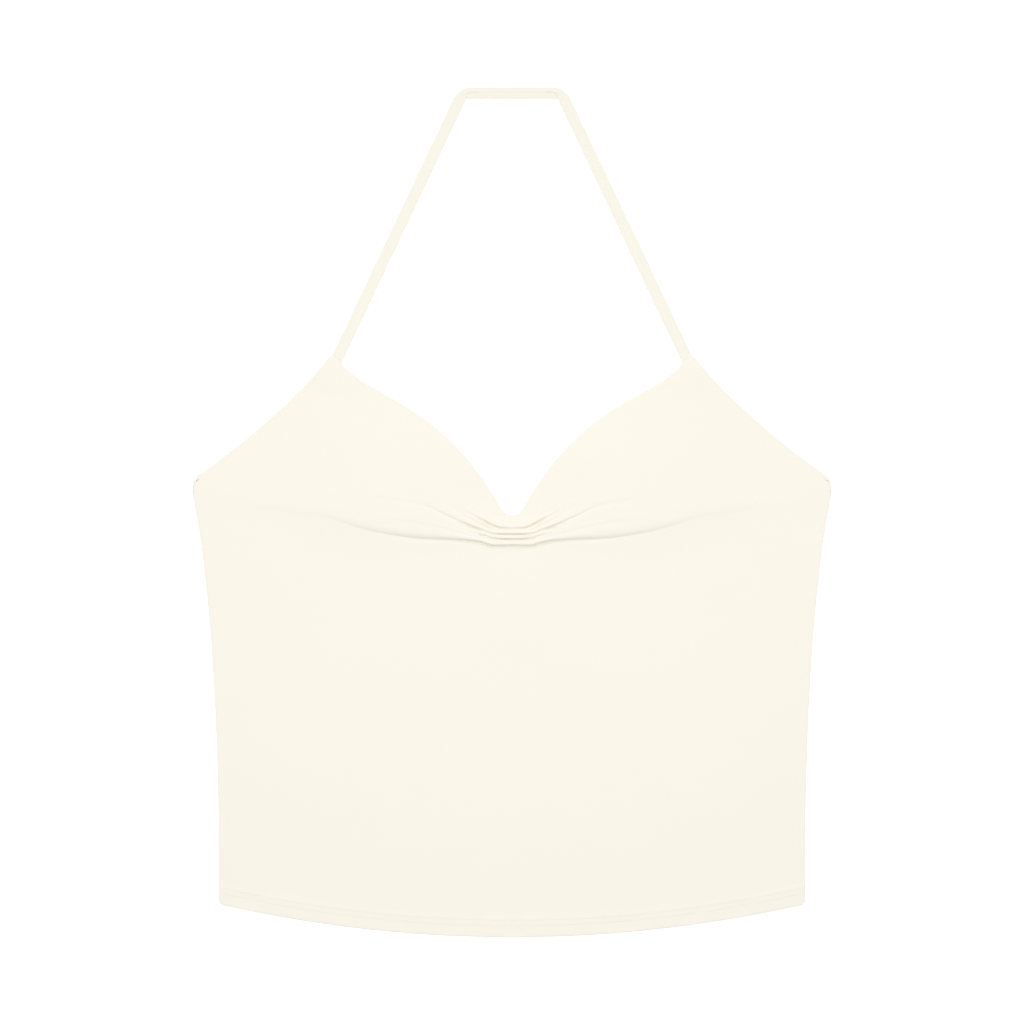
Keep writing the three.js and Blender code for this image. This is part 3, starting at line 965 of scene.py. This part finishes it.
def cloth_under(cloth, x, y, turned_over=False):
    """The height of a cloth's mesh at each point, seen from above or, turned over, from below."""
    tree = bvhtree.BVHTree.FromPolygons(
        [vertex.co for vertex in cloth.data.vertices],
        [face.vertices for face in cloth.data.polygons],
    )
    side = -1 if turned_over else 1
    heights = []
    for px, py in zip(x, y):
        hit = tree.ray_cast((px * MM, py * MM, side * SKY * MM), (0, 0, -side))[0]
        heights.append(hit.z / MM)
    return np.array(heights)


def sew(name, x, y, z, turned_over, seed, sizes=STITCH_SIZES):
    """Stitches along a line of points, on the upper side or turned over onto the under side."""
    group = stitch_tree()
    points = np.column_stack([x, y, -z if turned_over else z])
    mesh = bpy.data.meshes.new(name + "_line")
    edges = [(i, i + 1) for i in range(len(points) - 1)]
    mesh.from_pydata((points * MM).tolist(), edges, [])
    mesh.materials.append(thread)
    line = bpy.data.objects.new(name + "_line", mesh)
    bpy.context.scene.collection.objects.link(line)
    modifier = line.modifiers.new("stitches", "NODES")
    modifier.node_group = group
    values = dict(sizes, Seed=seed, Thread=thread)
    values["Painted hole shade"] = needle_hole_shade
    for socket in group.interface.items_tree:
        if socket.in_out == "INPUT" and socket.name in values:
            modifier[socket.identifier] = values[socket.name]
    evaluated = line.evaluated_get(bpy.context.evaluated_depsgraph_get())
    made = bpy.data.meshes.new_from_object(evaluated)
    bpy.data.objects.remove(line)
    if turned_over:
        made.transform(((1, 0, 0, 0), (0, 1, 0, 0), (0, 0, -1, 0), (0, 0, 0, 1)))
        made.flip_normals()
    piece = bpy.data.objects.new(name, made)
    made.name = name
    bpy.context.scene.collection.objects.link(piece)
    return piece


def hem_line(row):
    x = np.arange(-HEM_HALF + SEAM_MARGIN, HEM_HALF - 0.9 * SEAM_MARGIN, SEW_STEP)
    return x, hem_y(x) + row


def sew_hem(name, cloth, turned_over, seed):
    rows = []
    for number, row in enumerate(STITCH_ROWS):
        x, y = hem_line(row)
        rise = -THREAD_RISE if turned_over else THREAD_RISE
        z = cloth_under(cloth, x, y, turned_over) + rise
        rows.append(sew(f"{name}_{number}", x, y, z, turned_over, seed + number))
    return rows


front_hem_stitches = sew_hem("front_hem_stitches", front_cloth, False, 11)
back_hem_stitches = sew_hem("back_hem_stitches", back_cloth, True, 21)
tack_x = np.linspace(-5.0, 5.0, 9)
tack_y = np.full_like(tack_x, TACK_Y)
tack_z = cloth_under(front_cloth, tack_x, tack_y) + THREAD_RISE
tack_sizes = {**STITCH_SIZES, "Hole radius": TACK_HOLE * MM}
neckline_tack = sew("neckline_tack", tack_x, tack_y, tack_z, False, 31, tack_sizes)
stitches = [*front_hem_stitches, *back_hem_stitches, neckline_tack]
print("stitch faces:", {piece.name: len(piece.data.polygons) for piece in stitches})

# %% [markdown]
# ## Table, light and camera
# The photograph looks straight down at the top on a white ground that has no shadow. The table glows a
# little, as a light table does, so it stays white right up to the cloth. A broad soft lamp hangs right above,
# so the steep sides of the gathers fall into shade and the hem is a little dimmer than the bust. A weak lamp
# beyond the neck makes the upper side of every roll a little brighter than its lower side.

# %% Table
FLOOR_HALF = 3000.0


def floor_plane():
    corners = np.array([(-1, -1, 0), (1, -1, 0), (1, 1, 0), (-1, 1, 0)], float) * FLOOR_HALF
    mesh = bpy.data.meshes.new("table")
    mesh.from_pydata((corners * MM).tolist(), [], [(0, 1, 2, 3)])
    made = bpy.data.objects.new("table", mesh)
    bpy.context.scene.collection.objects.link(made)
    dye = Dye("white table")
    mesh.materials.append(
        dye.finish(
            **{
                "Base Color": (0.3, 0.3, 0.3, 1),
                "Roughness": 0.9,
                "Specular IOR Level": 0.0,
                "Emission Color": (1, 1, 1, 1),
                "Emission Strength": 0.86,
            }
        )
    )
    return made


floor_plane()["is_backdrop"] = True

# %% Light
ROOM_LIGHT = 0.66  # what the white room adds to a level white sheet
LAMPS = [
    # name, place, diameter, what it adds to a level white sheet at the middle of the table
    ("lamp overhead", (0.0, 0.07, 1.5), 0.85, 0.40),
    ("lamp beyond the neck", (0.0, 5.0, 5.0), 2.5, 0.10),
]


def soft_lamp(name, place, size, light):
    """A round lamp that faces the middle of the table."""
    distance = math.hypot(*place)
    tilt = math.atan2(place[1], place[2])
    data = bpy.data.lights.new(name, "AREA")
    data.shape = "DISK"
    data.size = size
    data.energy = light * (math.pi * distance) ** 2 / math.cos(tilt)
    lamp = bpy.data.objects.new(name, data)
    lamp.location = place
    lamp.rotation_euler = (-tilt, 0, 0)
    lamp.visible_camera = False
    bpy.context.scene.collection.objects.link(lamp)


world = bpy.data.worlds.new("white room")
world.use_nodes = True
world.node_tree.nodes["Background"].inputs["Color"].default_value = (1, 1, 1, 1)
world.node_tree.nodes["Background"].inputs["Strength"].default_value = ROOM_LIGHT
bpy.context.scene.world = world
for row in LAMPS:
    soft_lamp(*row)

# %% Camera
PHOTO_PIXELS = 1024
PIXEL_SIZE = 0.725  # of the photograph, in millimetres on the garment
LENS = 100.0
CAMERA_UP = 0.15  # the camera stands this far up the garment from its middle
SENSOR = 36.0
view_width = PHOTO_PIXELS * PIXEL_SIZE * MM
camera_data = bpy.data.cameras.new("camera")
camera_data.lens = LENS
camera_data.sensor_width = SENSOR
camera_data.clip_end = 50.0
camera = bpy.data.objects.new("camera", camera_data)
camera.location = (0.0, CAMERA_UP * MM, view_width * LENS / SENSOR)
bpy.context.scene.collection.objects.link(camera)
bpy.context.scene.camera = camera
bpy.context.scene.view_settings.view_transform = "Standard"
print(f"the camera stands {camera.location.z:.2f} m above the table")

# %% [markdown]
# ## Put the cloth on the frame
# Each shell stands for the solid that it was built on, and all of them move with the one body.

# %% Hang each piece on the body and hide its solid
dressed = [
    (front_cloth, "front_panel", "front_jersey"),
    (back_cloth, "back_panel", "back_jersey"),
    (strap_cloth, "halter_strap", "strap_jersey"),
]
for cloth, node, slot in dressed:
    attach(cloth, "root")
    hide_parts(node)
for piece in stitches:
    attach(piece, "root")

# %% Compare the cloth with the solids
low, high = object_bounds()
sizes = {"cad": [list(cad_low), list(cad_high)], "visual": [list(low), list(high)]}
for label, (lowest, highest) in sizes.items():
    print(label, [round((b - a) * 1000, 2) for a, b in zip(lowest, highest)], "mm")
